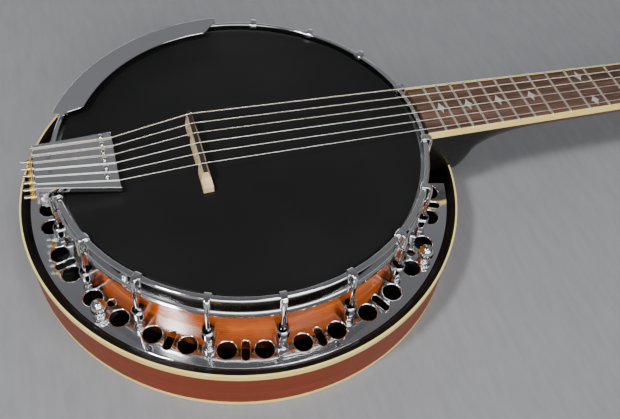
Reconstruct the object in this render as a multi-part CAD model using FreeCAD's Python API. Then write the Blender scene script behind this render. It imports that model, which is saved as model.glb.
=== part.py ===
import FreeCAD, Part
import math
import os

V = FreeCAD.Vector
os.makedirs("parts", exist_ok=True)

# ---- overall sizes (mm). X runs along the neck, Y across it, Z up out of the head.
# ---- Z = 0 is the flat back of the resonator, the origin lies under the centre of the pot.
RES_R_TOP = 178.1        # resonator outer radius at its top edge
RES_R_BOTTOM = 176.9     # and at its back
RES_HEIGHT = 46.2        # back to top of the lip
BACK_T = 5.0
WALL_RI = 171.0          # resonator wall, inner radius
BINDING_T = 1.5
BINDING_TOP_H = 6.3
BINDING_BOT_H = 4.5

RIM_R = 140.0            # outer radius of the wood rim
RING_IN = 0.1            # the tone ring stands this far inside it
RIM_RI = 120.7
RIM_BOTTOM = 16.0
HEAD_Z = 90.2            # playing surface of the head
HEAD_T = 0.4
HOOP_TOP = 93.5
HOOP_H = 20.5
HOOP_ROOM = 2.9          # from the tone ring out to the hoop
HOOP_T = 4.1
BEAD_OUT = 1.1           # how far the hoop's bead stands out

FLANGE_TOP = 43.3
FLANGE_T = 2.0
FLANGE_R = 170.4
FLANGE_GAP_DEG = 13.4
FLANGE_HOLE_R = 7.0
FLANGE_HOLE_PITCH_R = 156.0
HOLE_STEP_DEG = 5.15     # each round hole sits this far either side of a hook
SLOT_W = 5.5
SLOT_R0, SLOT_R1 = 148.0, 163.5

HOOK_FIRST_DEG = 12.0
HOOK_PITCH_DEG = 20.2
HOOK_LAST_DEG = 171.5
HOOK_W = 4.5
HOOK_T = 1.8
SHANK_R = 1.6
SHOE_Z = 54.0
SHOE_W = 10.0
SHOE_H = 9.6
SHOE_END = 4.6           # how far the shoe reaches past the hook
ROD_R = 3.2
ROD_Z_UP, ROD_Z_LOW = 66.0, 52.5

NECK_ANGLE = 2.42        # degrees the board falls away from the head plane
BOARD_X0 = 150.0         # where the board's top surface meets the height of the hoop
SCALE = 668.4
BRIDGE_X = -36.0
BOARD_T = 6.0
BOARD_W0, BOARD_W1 = 54.3, 42.9
SHAFT_D = 14.0
HEEL_Z = 24.5            # bottom of the heel, let into the resonator's wall
HEEL_GAP = 0.5           # room around the heel in the wall
FRETS = 21
FRET_W, FRET_H = 2.4, 1.1
INLAY_ALONG, INLAY_ACROSS = 3.8, 6.7    # half lengths of a star's two pairs of points
INLAY_PAIR_Y = 15.4
NUT_W = 4.5
HEAD_ANGLE = 13.0
HEADSTOCK_T = 14.0
OVERLAY_T = 2.0
HEADSTOCK_L = 168.0

POST_U = (50.0, 90.0, 130.0)
POST_Y = 24.0
POST_R = 3.0
COIL_R = 3.9
KEY_R = 1.7
WORM_R = 2.2
WHEEL_R = 4.5
KEY_Z = -24.0
TURN_FIT = 0.05          # radial clearance of everything that turns
SOFT_GAP = 0.35          # string to the coil it feeds

BRIDGE_FAR, BRIDGE_NEAR = 30.5, -42.5   # its ends across the head
BRIDGE_STEP = -34.0      # the cap stops here and the last foot stands lower
BRIDGE_TOP = 105.6
STRING_R = (0.55, 0.48, 0.42, 0.34, 0.3, 0.28)
BRIDGE_PITCH = 10.6
NUT_PITCH = 7.2
TAIL_PITCH = 8.8
PIN_PITCH = 7.0
SLOT_CLEAR = 0.12        # radial room of a string in its slot

TAIL_OUT = 7.1           # the tailpiece's back edge, outside the hoop
TAIL_Z = 104.1
TAIL_L = 56.9
TAIL_TILT = 6.36
TAIL_T = 2.0
TAIL_HW0, TAIL_HW1 = 21.5, 29.0
TAIL_SCREW_Y = PIN_PITCH * 1.02   # between two strings

ARM_DEG0, ARM_DEG1 = 86.3, 157.0
ARM_Z = 98.0             # top of the armrest's flat
ARM_T = 1.3
ARM_IN, ARM_OUT = 13.4, 5.0   # how far it reaches inside and outside the hoop
THUMB_R = 161.3
THUMB_SHANK_R = 2.5

# ---- sizes that follow from the ones above
POT_R = RIM_R - RING_IN
HOOP_RI = POT_R + HOOP_ROOM
HOOP_RO = HOOP_RI + HOOP_T
TAIL_X = -(HOOP_RO + TAIL_OUT)
HOOP_BOTTOM = HOOP_TOP - HOOP_H
HOOP_STEP = HOOP_BOTTOM + 11.6
FLESH_RO = HOOP_RI + 1.3
HEAD_RO = POT_R + HEAD_T
SHANK_RAD = HOOP_RO + BEAD_OUT + 0.7 + SHANK_R
HOOK_TOP = HOOP_TOP + HOOK_T
THUMB_TOP = FLANGE_TOP
NUT_X = BRIDGE_X - BOARD_X0 + SCALE
BRIDGE_BASE = HEAD_Z
TONE_BOTTOM = HEAD_Z - HEAD_T - 20.0
TONE_FOOT = TONE_BOTTOM + 11.0
HALF_ANGLES = [HOOK_FIRST_DEG + HOOK_PITCH_DEG * i for i in range(8)] + [HOOK_LAST_DEG]
HOOK_ANGLES = HALF_ANGLES + [-a for a in HALF_ANGLES]
MID_ANGLES = [(HALF_ANGLES[i] + HALF_ANGLES[i + 1]) / 2 for i in range(8)]
THUMB_HALF = [MID_ANGLES[1], MID_ANGLES[6]]
THUMB_ANGLES = [THUMB_HALF[0], THUMB_HALF[1], -THUMB_HALF[1], -THUMB_HALF[0]]
SLOT_HALF = [a for a in MID_ANGLES if a not in THUMB_HALF]


def save(name, shapes):
    """One step file for one named piece; a list becomes a group of solids."""
    if not isinstance(shapes, list):
        shapes = [shapes]
    solids = [s for shape in shapes for s in shape.Solids]
    out = solids[0] if len(solids) == 1 else Part.makeCompound(solids)
    out.exportStep("parts/" + name + ".step")


def turned(profile, degrees=360.0, start=0.0):
    """Revolve an (r, z) outline about the pot's axis."""
    pts = [V(r, 0, z) for r, z in profile]
    face = Part.Face(Part.makePolygon(pts + [pts[0]]))
    solid = face.revolve(V(0, 0, 0), V(0, 0, 1), degrees)
    solid.rotate(V(0, 0, 0), V(0, 0, 1), start)
    return solid


def cyl(r, h, at, axis=(0, 0, 1)):
    return Part.makeCylinder(r, h, V(*at), V(*axis))


def box(x0, x1, y0, y1, z0, z1):
    return Part.makeBox(x1 - x0, y1 - y0, z1 - z0, V(x0, y0, z0))


def prism(points, z0, z1):
    pts = [V(x, y, z0) for x, y in points]
    return Part.Face(Part.makePolygon(pts + [pts[0]])).extrude(V(0, 0, z1 - z0))


def side_prism(points, y0, y1):
    """Extrude an (x, z) outline along Y."""
    pts = [V(x, y0, z) for x, z in points]
    return Part.Face(Part.makePolygon(pts + [pts[0]])).extrude(V(0, y1 - y0, 0))


def spun(shape, deg):
    s = shape.copy()
    s.rotate(V(0, 0, 0), V(0, 0, 1), deg)
    return s


def hexagon(r, h, at, axis="z"):
    pts = [(r * math.cos(math.radians(60 * i)), r * math.sin(math.radians(60 * i))) for i in range(6)]
    s = prism(pts, 0, h)
    if axis == "x":
        s.rotate(V(0, 0, 0), V(0, 1, 0), 90)
    s.translate(V(*at))
    return s


def to_neck(shape):
    """Board frame: x from the body end of the board, z = 0 on the board's surface."""
    s = shape.copy()
    s.rotate(V(0, 0, 0), V(0, 1, 0), NECK_ANGLE)
    s.translate(V(BOARD_X0, 0, HOOP_TOP))
    return s


def to_headstock(shape):
    """Headstock frame: x along the headstock from the nut, z = 0 on its face."""
    s = shape.copy()
    s.rotate(V(0, 0, 0), V(0, 1, 0), HEAD_ANGLE)
    s.translate(V(NUT_X + NUT_W, 0, -1.0))
    return to_neck(s)


def to_tail(shape):
    """Tailpiece frame: x forward from the rear edge, z = 0 on the plate's surface."""
    s = shape.copy()
    s.rotate(V(0, 0, 0), V(0, 1, 0), TAIL_TILT)
    s.translate(V(TAIL_X, 0, TAIL_Z))
    return s


def moved_point(mover, p):
    v = mover(Part.Vertex(V(*p))).Point
    return (v.x, v.y, v.z)


def res_r(z):
    return RES_R_BOTTOM + (RES_R_TOP - RES_R_BOTTOM) * z / RES_HEIGHT


def board_half(x):
    return (BOARD_W0 + (BOARD_W1 - BOARD_W0) * x / NUT_X) / 2


def thumb_holes(solid, z0, z1):
    for a in THUMB_ANGLES:
        solid = solid.cut(spun(cyl(THUMB_SHANK_R + TURN_FIT, z1 - z0, (THUMB_R, 0, z0)), a))
    return solid


# ---- resonator ---------------------------------------------------------------------
def resonator():
    notch = to_neck(heel_block(HEEL_GAP))
    ri = RES_R_BOTTOM - BINDING_T
    top0 = RES_HEIGHT - BINDING_TOP_H
    save("resonator_back", cyl(ri, BACK_T, (0, 0, 0)))
    save("binding_bottom", turned([(ri, 0), (res_r(0), 0), (res_r(BINDING_BOT_H), BINDING_BOT_H),
                                   (ri, BINDING_BOT_H)]))
    save("resonator_wall", turned([
        (WALL_RI, BACK_T), (ri, BACK_T), (ri, BINDING_BOT_H), (res_r(BINDING_BOT_H), BINDING_BOT_H),
        (res_r(top0), top0), (WALL_RI, top0)]).cut(notch))
    lip_ro = RES_R_TOP - BINDING_T
    lip_ri = FLANGE_R + 0.3
    save("resonator_lip", turned([(lip_ri, top0), (lip_ro, top0), (lip_ro, RES_HEIGHT),
                                  (lip_ri + 2.9, RES_HEIGHT), (lip_ri, FLANGE_TOP)]).cut(notch))
    save("binding_top", turned([(lip_ro, top0), (res_r(top0), top0), (RES_R_TOP, RES_HEIGHT),
                                (lip_ro, RES_HEIGHT)]).cut(notch))
    top = FLANGE_TOP - FLANGE_T
    lug = box(THUMB_R - 9.3, WALL_RI + 5, -9, 9, 18, top)
    lug = lug.common(cyl(WALL_RI, top, (0, 0, 0)))
    lug = lug.cut(turned([(lip_ri, top0), (200, top0), (200, 60), (lip_ri, 60)]))
    lugs = [thumb_holes(spun(lug, a), 22, top + 1) for a in THUMB_ANGLES]
    save("resonator_lugs", lugs)


# ---- pot ---------------------------------------------------------------------------
def rim():
    s = turned([(RIM_RI, RIM_BOTTOM), (RIM_R, RIM_BOTTOM), (RIM_R, TONE_BOTTOM),
                (POT_R - 1.3, TONE_BOTTOM), (POT_R - 1.3, TONE_FOOT), (RIM_RI, TONE_FOOT)])
    for a in HOOK_ANGLES:
        s = s.cut(spun(cyl(2.05, 30, (RIM_RI - 5, 0, SHOE_Z), (1, 0, 0)), a))
    for z in (ROD_Z_UP, ROD_Z_LOW):
        s = s.cut(cyl(ROD_R + 0.1, 400, (-200, 0, z), (1, 0, 0)))
    save("rim", s)
    top = HEAD_Z - HEAD_T
    save("tone_ring", turned([(POT_R - 9, TONE_FOOT), (POT_R - 1.3, TONE_FOOT), (POT_R - 1.3, TONE_BOTTOM),
                              (POT_R, TONE_BOTTOM), (POT_R, top), (POT_R - 2.5, top),
                              (POT_R - 9, top - 3)]))


def head():
    low = HOOP_STEP - 4.1
    top = HEAD_Z - HEAD_T
    save("drum_head", turned([(0, top), (POT_R, top), (POT_R, low), (HEAD_RO, low),
                              (HEAD_RO, HEAD_Z), (0, HEAD_Z)]))
    save("flesh_hoop", turned([(HEAD_RO, low), (FLESH_RO, low), (FLESH_RO, HOOP_STEP), (HEAD_RO, HOOP_STEP)]))


def tension_hoop():
    bead = HOOP_RO + BEAD_OUT
    save("tension_hoop", turned([
        (HOOP_RI, HOOP_STEP), (HOOP_RI, HOOP_TOP - 0.3), (HOOP_RI + 0.3, HOOP_TOP),
        (HOOP_RO - 0.9, HOOP_TOP), (HOOP_RO, HOOP_TOP - 0.9), (HOOP_RO, HOOP_BOTTOM + 7.4),
        (bead, HOOP_BOTTOM + 6.6), (bead, HOOP_BOTTOM + 0.7), (bead - 0.7, HOOP_BOTTOM),
        (FLESH_RO + 0.2, HOOP_BOTTOM), (FLESH_RO + 0.2, HOOP_STEP)]))


def hooks():
    outer = SHANK_RAD + SHANK_R
    inner = HOOP_RI - 1.6
    strip = side_prism([(inner, HOOP_TOP - 2.2), (HOOP_RI - 0.1, HOOP_TOP - 2.2), (HOOP_RI - 0.1, HOOP_TOP),
                        (outer - SHANK_R * 2, HOOP_TOP), (outer - SHANK_R * 2, HOOP_TOP - 3),
                        (outer, HOOP_TOP - 3), (outer, HOOK_TOP - 1.2), (outer - 1.2, HOOK_TOP),
                        (inner + 0.8, HOOK_TOP), (inner, HOOK_TOP - 0.8)], -HOOK_W / 2, HOOK_W / 2)
    low = FLANGE_TOP + 0.5
    hook = strip.fuse(cyl(SHANK_R, HOOP_TOP - 1 - low, (SHANK_RAD, 0, low))).removeSplitter()
    save("hooks", [spun(hook, a) for a in HOOK_ANGLES])

    z0 = SHOE_Z - SHOE_H / 2
    shoe = cyl(SHOE_W / 2, SHOE_H, (SHANK_RAD + SHOE_END - SHOE_W / 2, 0, z0))
    shoe = shoe.fuse(box(RIM_R - 3, SHANK_RAD + SHOE_END - SHOE_W / 2, -SHOE_W / 2, SHOE_W / 2, z0, z0 + SHOE_H))
    shoe = shoe.cut(cyl(RIM_R, 200, (0, 0, 0))).removeSplitter()
    shoe = shoe.cut(cyl(SHANK_R + 0.1, 40, (SHANK_RAD, 0, SHOE_Z - 20)))
    shoe = shoe.cut(cyl(2.05, 11, (RIM_R - 8, 0, SHOE_Z), (1, 0, 0)))
    save("bracket_shoes", [spun(shoe, a) for a in HOOK_ANGLES])

    nut_top = SHOE_Z - SHOE_H / 2
    nut = hexagon(3.2, nut_top - low - 0.2, (SHANK_RAD, 0, low + 0.2))
    nut = nut.cut(cyl(SHANK_R, 30, (SHANK_RAD, 0, low - 5)))
    save("hook_nuts", [spun(nut, a) for a in HOOK_ANGLES])

    bolt = cyl(2.0, 23.7, (RIM_RI - 1.5, 0, SHOE_Z), (1, 0, 0))
    cap = cyl(4.2, 3.0, (RIM_RI - 3.2, 0, SHOE_Z), (1, 0, 0)).common(cyl(RIM_RI, 200, (0, 0, 0)))
    bolt = bolt.fuse(cap)
    save("shoe_bolts", [spun(bolt, a) for a in HOOK_ANGLES])


def flange():
    z0 = FLANGE_TOP - FLANGE_T
    s = turned([(RIM_R, z0 - 4), (RIM_R + 2.2, z0 - 4), (RIM_R + 2.2, z0), (FLANGE_R, z0),
                (FLANGE_R, FLANGE_TOP - 0.6), (FLANGE_R - 0.6, FLANGE_TOP), (RIM_R, FLANGE_TOP)])
    wedge = turned([(100, 0), (200, 0), (200, 60), (100, 60)], 2 * FLANGE_GAP_DEG, -FLANGE_GAP_DEG)
    s = s.cut(wedge)
    tools = []
    for a in HOOK_ANGLES:
        for d in (-HOLE_STEP_DEG, HOLE_STEP_DEG):
            if abs(a + d) > FLANGE_GAP_DEG:
                tools.append(spun(cyl(FLANGE_HOLE_R, 8, (FLANGE_HOLE_PITCH_R, 0, z0 - 3)), a + d))
    for a in SLOT_HALF + [-x for x in SLOT_HALF]:
        slot = box(SLOT_R0 + SLOT_W / 2, SLOT_R1 - SLOT_W / 2, -SLOT_W / 2, SLOT_W / 2, z0 - 3, z0 + 5)
        for r in (SLOT_R0 + SLOT_W / 2, SLOT_R1 - SLOT_W / 2):
            slot = slot.fuse(cyl(SLOT_W / 2, 8, (r, 0, z0 - 3)))
        tools.append(spun(slot, a))
    for a in THUMB_ANGLES:
        tools.append(spun(cyl(3.0, 8, (SLOT_R0 + 2, 0, z0 - 3)), a))
        tools.append(spun(cyl(THUMB_SHANK_R + TURN_FIT, 8, (THUMB_R, 0, z0 - 3)), a))
    save("flange", s.cut(tools))


def thumbscrews():
    z = THUMB_TOP + TURN_FIT
    for i, a in enumerate(THUMB_ANGLES):
        s = cyl(THUMB_SHANK_R, z - 25, (THUMB_R, 0, 25))
        s = s.fuse(cyl(4.4, 2.4, (THUMB_R, 0, z))).fuse(cyl(2.9, 2.2, (THUMB_R, 0, z + 2.2)))
        knob = cyl(5.8, 7.0, (THUMB_R, 0, z + 4.2))
        knob = knob.fuse(Part.makeSphere(5.8, V(THUMB_R, 0, z + 9.0)).common(
            box(150, 175, -10, 10, z + 11.2, z + 20)))
        for k in range(18):
            g = 2 * math.pi * k / 18
            knob = knob.cut(cyl(0.5, 7.0, (THUMB_R + 5.95 * math.cos(g), 5.95 * math.sin(g), z + 4.2)))
        save("thumbscrew_%d" % (i + 1), spun(s.fuse(knob), a))


def rods():
    x0, x1 = -RIM_R - 7.5, BOARD_X0 + 15
    upper = cyl(ROD_R, x1 - (x0 - 7), (x0 - 7, 0, ROD_Z_UP), (1, 0, 0))
    lower = cyl(ROD_R, x1 - x0, (x0, 0, ROD_Z_LOW), (1, 0, 0))
    save("coordinator_rods", [upper, lower])
    out = []
    for z in (ROD_Z_UP, ROD_Z_LOW):
        out.append(hexagon(6.4, 5, (RIM_RI - 6.6, 0, z), "x").cut(cyl(ROD_R, 400, (-200, 0, z), (1, 0, 0))))
    washer = cyl(6.0, 2, (-RIM_R - 2, 0, ROD_Z_LOW), (1, 0, 0)).cut(cyl(RIM_R, 200, (0, 0, 0)))
    nut = hexagon(5.8, 4.5, (-RIM_R - 6.5, 0, ROD_Z_LOW), "x")
    out += [washer.cut(cyl(ROD_R, 400, (-200, 0, ROD_Z_LOW), (1, 0, 0))),
            nut.cut(cyl(ROD_R, 400, (-200, 0, ROD_Z_LOW), (1, 0, 0)))]
    spacer = cyl(5.0, 10.6, (-SHANK_RAD + 0.7, 0, ROD_Z_UP), (1, 0, 0)).cut(cyl(RIM_R, 200, (0, 0, 0)))
    out.append(spacer.cut(cyl(ROD_R, 400, (-200, 0, ROD_Z_UP), (1, 0, 0))))
    acorn = hexagon(5.8, 4.0, (-SHANK_RAD - 5.2, 0, ROD_Z_UP), "x")
    acorn = acorn.fuse(Part.makeSphere(5.0, V(-SHANK_RAD - 5.2, 0, ROD_Z_UP)).common(
        box(-SHANK_RAD - 12, -SHANK_RAD - 5.2, -9, 9, 40, 90)))
    out.append(acorn.cut(cyl(ROD_R, x1 - (x0 - 7), (x0 - 7, 0, ROD_Z_UP), (1, 0, 0))))
    save("rod_nuts", out)


# ---- tailpiece and bridge ----------------------------------------------------------
def tail_plate_shape():
    plate = prism([(0, -TAIL_HW0), (TAIL_L, -TAIL_HW1), (TAIL_L, TAIL_HW1), (0, TAIL_HW0)], -TAIL_T, 0)
    rear = box(-2, 0, -TAIL_HW0, TAIL_HW0, -18, 0)
    edge = prism([(TAIL_L - 2, -TAIL_HW1 + 0.3), (TAIL_L, -TAIL_HW1), (TAIL_L, TAIL_HW1),
                  (TAIL_L - 2, TAIL_HW1 - 0.3)], -4.5, -TAIL_T)
    s = plate.fuse([rear, edge])
    for side in (-1, 1):
        s = s.fuse(prism([(0, side * (TAIL_HW0 - 1.4)), (TAIL_L, side * (TAIL_HW1 - 1.4)),
                          (TAIL_L, side * TAIL_HW1), (0, side * TAIL_HW0)], -4.5, 0))
    for i in range(6):
        y = PIN_PITCH * (2.5 - i)
        s = s.fuse(cyl(1.1, 9.0, (-11.0, y, -13.5), (1, 0, 0)))
        y = TAIL_PITCH * (2.5 - i) * (TAIL_L - 5) / TAIL_L
        s = s.cut(cyl(2.2, 6, (TAIL_L - 7.5, y + TAIL_PITCH / 2 - 1.2, -4)))
    for y in (-TAIL_SCREW_Y, TAIL_SCREW_Y):
        s = s.cut(cyl(1.6, 6, (9, y, -4)))
    return to_tail(s.removeSplitter())


def tailpiece():
    plate = tail_plate_shape()
    save("tail_plate", plate)
    x1 = -SHANK_RAD + 0.7
    strap = box(x1 - 1.9, x1, -10, 10, ROD_Z_UP - 8, 108)
    top = box(x1 - 1.9, x1 + 14, -10, 10, 96, 108)
    above = to_tail(box(-30, 80, -40, 40, -TAIL_T, 30))
    below = to_tail(box(-30, 80, -40, 40, -60, -TAIL_T - 2))
    strap = strap.cut(above).fuse(top.cut(above).cut(below)).removeSplitter()
    strap = strap.cut(cyl(ROD_R, 400, (-200, 0, ROD_Z_UP), (1, 0, 0)))
    for y in (-TAIL_SCREW_Y, TAIL_SCREW_Y):
        strap = strap.cut(to_tail(cyl(1.6, 12, (9, y, -8))))
    save("tail_bracket", strap)
    screws = []
    for y in (-TAIL_SCREW_Y, TAIL_SCREW_Y):
        screws.append(to_tail(cyl(1.6, 4.5, (9, y, -4.5))))
    save("tail_screws", screws)
    balls = []
    for i in range(6):
        y = PIN_PITCH * (2.5 - i)
        ring = cyl(2.3, 3.2, (-6.4, y, -13.5), (1, 0, 0)).cut(cyl(1.1, 8, (-8, y, -13.5), (1, 0, 0)))
        balls.append(to_tail(ring))
    save("ball_ends", balls)


def bridge():
    h0, h1, top = BRIDGE_BASE, BRIDGE_TOP - 2.0, BRIDGE_TOP
    step = h0 + 5.8
    body = side_prism([(BRIDGE_X - 4, h0), (BRIDGE_X + 4, h0), (BRIDGE_X + 3.9, step), (BRIDGE_X + 1.7, h1),
                       (BRIDGE_X - 1.7, h1), (BRIDGE_X - 3.9, step)], BRIDGE_NEAR, BRIDGE_FAR)
    body = body.cut(box(BRIDGE_X - 10, BRIDGE_X + 10, BRIDGE_NEAR - 1, BRIDGE_STEP, step, top + 5))
    for y in (BRIDGE_FAR - 17.5, BRIDGE_NEAR + 24.5):
        arch = cyl(4.3, 20, (BRIDGE_X - 10, y, h0 + 5.2), (1, 0, 0))
        body = body.cut(arch.fuse(box(BRIDGE_X - 10, BRIDGE_X + 10, y - 4.3, y + 4.3, h0 - 1, h0 + 5.2)))
    save("bridge_body", body)
    cap = side_prism([(BRIDGE_X - 1.7, h1), (BRIDGE_X + 1.7, h1), (BRIDGE_X + 1.4, top),
                      (BRIDGE_X - 1.4, top)], BRIDGE_STEP, BRIDGE_FAR)
    for i in range(6):
        y = BRIDGE_PITCH * (2.5 - i)
        cap = cap.cut(cyl(STRING_R[i] + SLOT_CLEAR, 10, (BRIDGE_X - 5, y, top + STRING_R[i] * 0.2), (1, 0, 0)))
    save("bridge_cap", cap)


def armrest():
    ri, ro = HOOP_RI - ARM_IN, HOOP_RO + ARM_OUT
    s = turned([(ri, ARM_Z - 0.4), (ri + 0.4, ARM_Z), (ro - 1.5, ARM_Z), (ro, ARM_Z - 1.5), (ro, ARM_Z - 2.4),
                (ro - ARM_T, ARM_Z - 2.4), (ro - ARM_T, ARM_Z - 2.0), (ro - 1.5, ARM_Z - ARM_T), (ri, ARM_Z - ARM_T)],
               ARM_DEG1 - ARM_DEG0, ARM_DEG0)
    for a, side in ((ARM_DEG0, 1), (ARM_DEG1, -1)):
        trim = prism([(ri - 2, -1), (ri - 2, 13), (ri, 11), (ri + 3.5, 6), (ri + 11, 0.4), (ri + 14, -1)],
                     ARM_Z - 10, ARM_Z + 10)
        if side < 0:
            trim = trim.mirror(V(0, 0, 0), V(0, 1, 0))
        s = s.cut(spun(trim, a))
    save("armrest", s)
    clamps, screws = [], []
    ri, ro = HOOP_RO + BEAD_OUT + 0.5, HOOP_RO + BEAD_OUT + 2.3
    for a in (MID_ANGLES[4], MID_ANGLES[6]):
        c = box(ri, ro, -6, 6, HOOP_BOTTOM - 3.4, HOOP_TOP + 12)
        c = c.fuse(box(ri - 4, ro, -6, 6, HOOP_BOTTOM - 3.4, HOOP_BOTTOM))
        c = c.fuse(box(ri - 6, ro, -6, 6, HOOP_TOP + 2.4, HOOP_TOP + 12))
        c = spun(c, a).cut(box(-200, 200, -200, 200, ARM_Z - ARM_T, ARM_Z + 20))
        c = c.cut(spun(cyl(1.6, 12, (ri - 6, 0, HOOP_BOTTOM + 4), (1, 0, 0)), a))
        clamps += c.Solids
        screw = cyl(1.6, ro + 1 - ri, (ri, 0, HOOP_BOTTOM + 4), (1, 0, 0))
        screw = screw.fuse(cyl(3.2, 2.2, (ro, 0, HOOP_BOTTOM + 4), (1, 0, 0)))
        screws.append(spun(screw, a))
    save("armrest_clamps", clamps)
    save("armrest_screws", screws)


# ---- neck --------------------------------------------------------------------------
def neck_section(x, d, full, grow=0.0):
    """Closed D-shaped wire across the neck; full = 1 gives the squarer heel shape."""
    h = board_half(x) - 0.05 + grow
    marks = ((0.0, 1.0, 1.0), (0.3, 0.93, 0.97), (0.62, 0.76, 0.87), (0.86, 0.46, 0.66), (1.0, 0.0, 0.0))
    right = [V(x, h * (a + (b - a) * full), -BOARD_T - (d + grow) * t) for t, a, b in marks]
    left = [V(p.x, -p.y, p.z) for p in right[-2::-1]]
    curve = Part.BSplineCurve()
    curve.interpolate(right + left)
    top = Part.LineSegment(left[-1], right[0]).toShape()
    return Part.Wire([curve.toShape(), top])


def heel_block(grow=0.0):
    """The part of the heel that stands between the pot and its outer curve."""
    heel_d = HOOP_TOP - HEEL_Z - BOARD_T
    fall = math.tan(math.radians(NECK_ANGLE))
    blocks = [(-14.0, heel_d + 0.6), (36.0, heel_d - 36 * fall)]
    return Part.makeLoft([neck_section(x, d, 1.0, grow) for x, d in blocks], True, True)


def headstock_outline(z0, z1, inset=0.0):
    side = [(0, 21.5), (16, 23.5), (27, 31.5), (40, 36.5), (70, 37.2), (110, 36.2), (HEADSTOCK_L - 12, 35.0)]
    side = [(x, y - inset) for x, y in side]
    tip = [(HEADSTOCK_L - 12, 35.0 - inset), (HEADSTOCK_L - 5 - inset, 27), (HEADSTOCK_L - 8 - inset, 14),
           (HEADSTOCK_L - inset, 0)]
    edges = []
    for sign in (1, -1):
        for run in (side, tip):
            c = Part.BSplineCurve()
            c.interpolate([V(x, sign * y, z0) for x, y in run])
            edges.append(c.toShape())
    edges.append(Part.LineSegment(V(0, 21.5 - inset, z0), V(0, -21.5 + inset, z0)).toShape())
    wire = Part.Wire(Part.__sortEdges__(edges))
    return Part.Face(wire).extrude(V(0, 0, z1 - z0))


def neck():
    block = heel_block()
    outer = HOOP_TOP - HEEL_Z - BOARD_T - 36 * math.tan(math.radians(NECK_ANGLE))
    curve = [(36.0, outer, 1.0), (41.0, outer - 4.2, 1.0), (44.5, 46.0, 1.0), (47.0, 37.5, 1.0), (52.0, 30.5, 0.9),
             (60.0, 25.0, 0.65), (72.0, 20.5, 0.35), (86.0, 17.2, 0.12), (100.0, 15.8, 0.0)]
    heel = Part.makeLoft([neck_section(*c) for c in curve], True, False)
    end = NUT_X + NUT_W
    shaft = Part.makeLoft([neck_section(x, d, 0.0) for x, d in
                           ((100.0, 15.8), (220.0, 15.0), (360.0, SHAFT_D + 0.3), (end, SHAFT_D))], True, False)
    wood = block.fuse([heel, shaft])
    wood = to_neck(wood)
    slab = to_headstock(headstock_outline(-OVERLAY_T - HEADSTOCK_T, -OVERLAY_T))
    ramp = to_neck(side_prism([(end - 12, -BOARD_T), (end + 2, -BOARD_T), (end + 9, -8.0),
                               (end + 24, -20.5), (end, -BOARD_T - SHAFT_D + 0.4)], -19.0, 19.0))
    over = to_headstock(box(-20, 60, -40, 40, -OVERLAY_T, 30))
    wood = wood.fuse([slab, ramp.cut(over)])
    pot = cyl(RIM_R, 200, (0, 0, 0)).fuse(cyl(HOOP_RO + BEAD_OUT + 1.0, 60, (0, 0, HOOP_BOTTOM - 1.0)))
    for a in (HOOK_FIRST_DEG, -HOOK_FIRST_DEG):
        room = box(RIM_R - 1, SHANK_RAD + SHOE_END + 0.4, -SHOE_W / 2 - 0.4, SHOE_W / 2 + 0.4,
                   SHOE_Z - SHOE_H / 2 - 0.4, SHOE_Z + SHOE_H / 2 + 0.4)
        pot = pot.fuse(spun(room, a))
    wood = wood.cut(pot)
    wood = wood.cut([cyl(ROD_R, 80, (100, 0, z), (1, 0, 0)) for z in (ROD_Z_UP, ROD_Z_LOW)])
    holes = [to_headstock(cyl(4.2, 40, (u, s * POST_Y, -30))) for u in POST_U for s in (1, -1)]
    wood = wood.cut(holes)
    wood = wood.cut(to_neck(box(NUT_X, NUT_X + NUT_W, -40, 40, -BOARD_T, 20)))
    save("neck", wood.removeSplitter())
    overlay = headstock_outline(-OVERLAY_T, 0.0, 0.0).cut(box(-10, 1.5, -40, 40, -10, 10))
    overlay = overlay.cut([cyl(4.2, 40, (u, s * POST_Y, -30)) for u in POST_U for s in (1, -1)])
    overlay = to_headstock(overlay).cut(to_neck(box(NUT_X - 5, NUT_X + NUT_W, -40, 40, -20, 20)))
    save("headstock_overlay", overlay)
    cover = prism([(9, -8), (14, -10.5), (30, -8.5), (40, -3), (42, 0), (40, 3), (30, 8.5), (14, 10.5), (9, 8)],
                  0, 1.6)
    spots = ((13.0, 0.0), (36.5, 0.0))
    cover = cover.cut([cyl(1.2, 5, (u, y, -1)) for u, y in spots])
    save("truss_cover", to_headstock(cover))
    screws = [to_headstock(cyl(1.2, 1.6, (u, y, 0)).fuse(cyl(1.9, 0.7, (u, y, 1.6)))) for u, y in spots]
    return screws


def star(x, y, along, across, z0, z1):
    """Four points with hollow sides."""
    pts = []
    for k in range(24):
        c, n = math.cos(math.radians(15 * k)), math.sin(math.radians(15 * k))
        pts.append((x + along * (0.85 * c ** 3 + 0.15 * c), y + across * (0.85 * n ** 3 + 0.15 * n)))
    return prism(pts, z0, z1)


def fret_x(n):
    return BRIDGE_X - BOARD_X0 + SCALE * 2 ** (-n / 12.0)


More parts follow.
